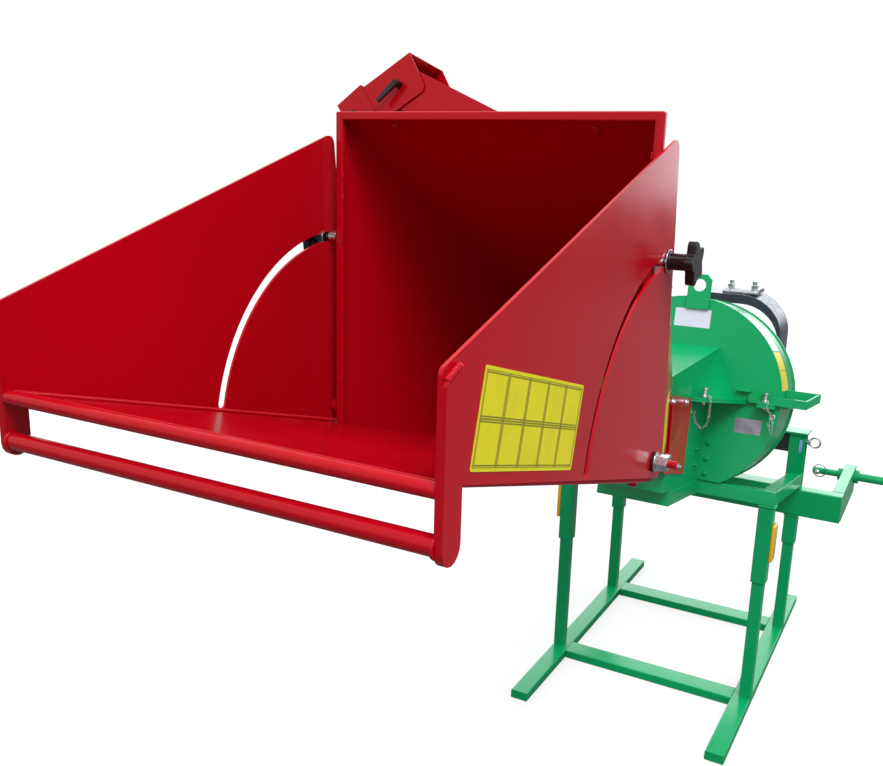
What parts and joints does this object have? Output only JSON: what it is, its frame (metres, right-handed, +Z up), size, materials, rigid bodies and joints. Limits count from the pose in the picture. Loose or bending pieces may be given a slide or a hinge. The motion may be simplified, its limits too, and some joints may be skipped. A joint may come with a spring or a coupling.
{
  "type": "tractor wood chipper",
  "caption": "Three-point-hitch disc wood chipper with a folding feed tray, tapered funnel, hinged rotor cover, discharge chute with deflectors, and a removable parking stand.",
  "frame": {"origin": "on the floor under the centre of the whole machine's box", "axes": "+Y towards the tractor, -Y the feeding side, +X the right-hand side seen from the feeding end, +Z up"},
  "size_m": [1.7614, 2.7458, 1.8191],
  "materials": {
    "green_paint": "glossy powder coat",
    "red_paint": "glossy powder coat",
    "black_paint": "satin paint",
    "zinc": "bright zinc plating",
    "tool_steel": "ground steel",
    "cast_iron": "painted casting",
    "black_plastic": "moulded plastic",
    "yellow_label": "printed film",
    "white_label": "printed film",
    "amber_reflector": "moulded reflector",
    "blue_label": "printed film",
    "plate": "stamped blank plate"
  },
  "bodies": {
    "frame": {"sleeve_front_left": "green_paint", "sleeve_front_right": "green_paint", "sleeve_rear_left": "green_paint", "sleeve_rear_right": "green_paint", "ring_front": "green_paint", "ring_rail_left": "green_paint", "ring_rail_right": "green_paint", "cradle": "green_paint", "ring_rear": "green_paint", "link_beam": "green_paint", "link_arm_left": "green_paint", "link_arm_right": "green_paint", "link_pin_left": "green_paint", "link_pin_right": "green_paint", "tower_post_left": "green_paint", "tower_post_right": "green_paint", "tower_beam": "black_paint", "top_link_mast": "green_paint", "lower_housing": "green_paint", "infeed_box": "green_paint", "bearing_bracket": "green_paint", "bearing_front": "cast_iron", "bearing_rear": "cast_iron", "bed_knife": "tool_steel", "throat_guide": "tool_steel", "pto_guard": "black_plastic", "guard_bracket": "zinc", "funnel": "red_paint", "funnel_rim": "red_paint", "pivot_bolt_left": "zinc", "pivot_bolt_right": "zinc", "slot_stud_left": "zinc", "slot_stud_right": "zinc"},
    "stand": {"stand_side_left": "green_paint", "stand_side_right": "green_paint", "stand_bar_front": "green_paint", "stand_bar_rear": "green_paint"},
    "tray": {"tray_wing_left": "red_paint", "tray_wing_right": "red_paint", "tray_floor": "red_paint", "tray_bumper": "red_paint"},
    "knob_right": {"star_knob_right": "black_plastic"},
    "knob_left": {"star_knob_left": "black_plastic"},
    "cover": {"upper_housing": "green_paint", "infeed_hood": "green_paint", "cover_handle": "green_paint", "chute": "red_paint"},
    "lock_pin_hood": {"lock_pin_hood": "zinc"},
    "lock_pin_side": {"lock_pin_side": "zinc"},
    "rotor": {"rotor_disc": "tool_steel", "knife_a": "tool_steel", "knife_b": "tool_steel", "rotor_shaft": "tool_steel"},
    "deflector_1": {"deflector_1": "red_paint"},
    "deflector_2": {"deflector_2": "red_paint"},
    "clamp_lever_1": {"clamp_lever_1": "black_plastic"},
    "clamp_lever_2": {"clamp_lever_2": "black_plastic"},
    "top_link_pin": {"top_link_pin": "zinc"},
    "post_pin_right": {"post_pin_right": "zinc"},
    "post_pin_left": {"post_pin_left": "zinc"}
  },
  "joints": [
    {"name": "stand_slide", "type": "slide", "parent": "frame", "child": "stand", "axis": [0, 0, -1], "range_m": [0, 0.25]},
    {"name": "tray_fold", "type": "hinge", "parent": "frame", "child": "tray", "pos_m": [0.36071, -0.6961, 1.06], "axis": [-1, 0, 0], "range_deg": [0, 74]},
    {"name": "knob_right_turn", "type": "hinge", "parent": "frame", "child": "knob_right", "pos_m": [0.68071, -0.70671, 1.36381], "axis": [1, 0, 0], "range_deg": [0, 360]},
    {"name": "knob_left_turn", "type": "hinge", "parent": "frame", "child": "knob_left", "pos_m": [0.04071, -0.70671, 1.36381], "axis": [-1, 0, 0], "range_deg": [0, 360]},
    {"name": "cover_open", "type": "hinge", "parent": "frame", "child": "cover", "pos_m": [0.08171, 0.5349, 0.874], "axis": [0, -0.9848, 0.1736], "range_deg": [0, 60]},
    {"name": "lock_pin_hood_pull", "type": "slide", "parent": "cover", "child": "lock_pin_hood", "axis": [0, 0.1736, 0.9848], "range_m": [0, 0.045]},
    {"name": "lock_pin_side_pull", "type": "slide", "parent": "cover", "child": "lock_pin_side", "axis": [0, 0.1736, 0.9848], "range_m": [0, 0.045]},
    {"name": "rotor_spin", "type": "hinge", "parent": "frame", "child": "rotor", "pos_m": [0.37571, 0.5349, 0.874], "axis": [0, 0.9848, -0.1736], "continuous": true},
    {"name": "deflector_1_tilt", "type": "hinge", "parent": "cover", "child": "deflector_1", "pos_m": [-0.64729, 0.68354, 1.717], "axis": [0, -0.9848, 0.1736], "range_deg": [-56, 15]},
    {"name": "deflector_2_tilt", "type": "hinge", "parent": "deflector_1", "child": "deflector_2", "pos_m": [-0.7959, 0.66653, 1.6205], "axis": [0, -0.9848, 0.1736], "range_deg": [-5, 45]},
    {"name": "clamp_lever_1_turn", "type": "hinge", "parent": "deflector_1", "child": "clamp_lever_1", "pos_m": [-0.64729, 0.68354, 1.717], "axis": [0, -0.9848, 0.1736], "range_deg": [-30, 90]},
    {"name": "clamp_lever_2_turn", "type": "hinge", "parent": "deflector_2", "child": "clamp_lever_2", "pos_m": [-0.7959, 0.66653, 1.6205], "axis": [0, -0.9848, 0.1736], "range_deg": [-30, 60]},
    {"name": "top_link_pin_pull", "type": "slide", "parent": "frame", "child": "top_link_pin", "axis": [1, 0, 0], "range_m": [0, 0.098]},
    {"name": "post_pin_right_pull", "type": "slide", "parent": "frame", "child": "post_pin_right", "axis": [1, 0, 0], "range_m": [0, 0.08]},
    {"name": "post_pin_left_pull", "type": "slide", "parent": "frame", "child": "post_pin_left", "axis": [-1, 0, 0], "range_m": [0, 0.08]}
  ]
}
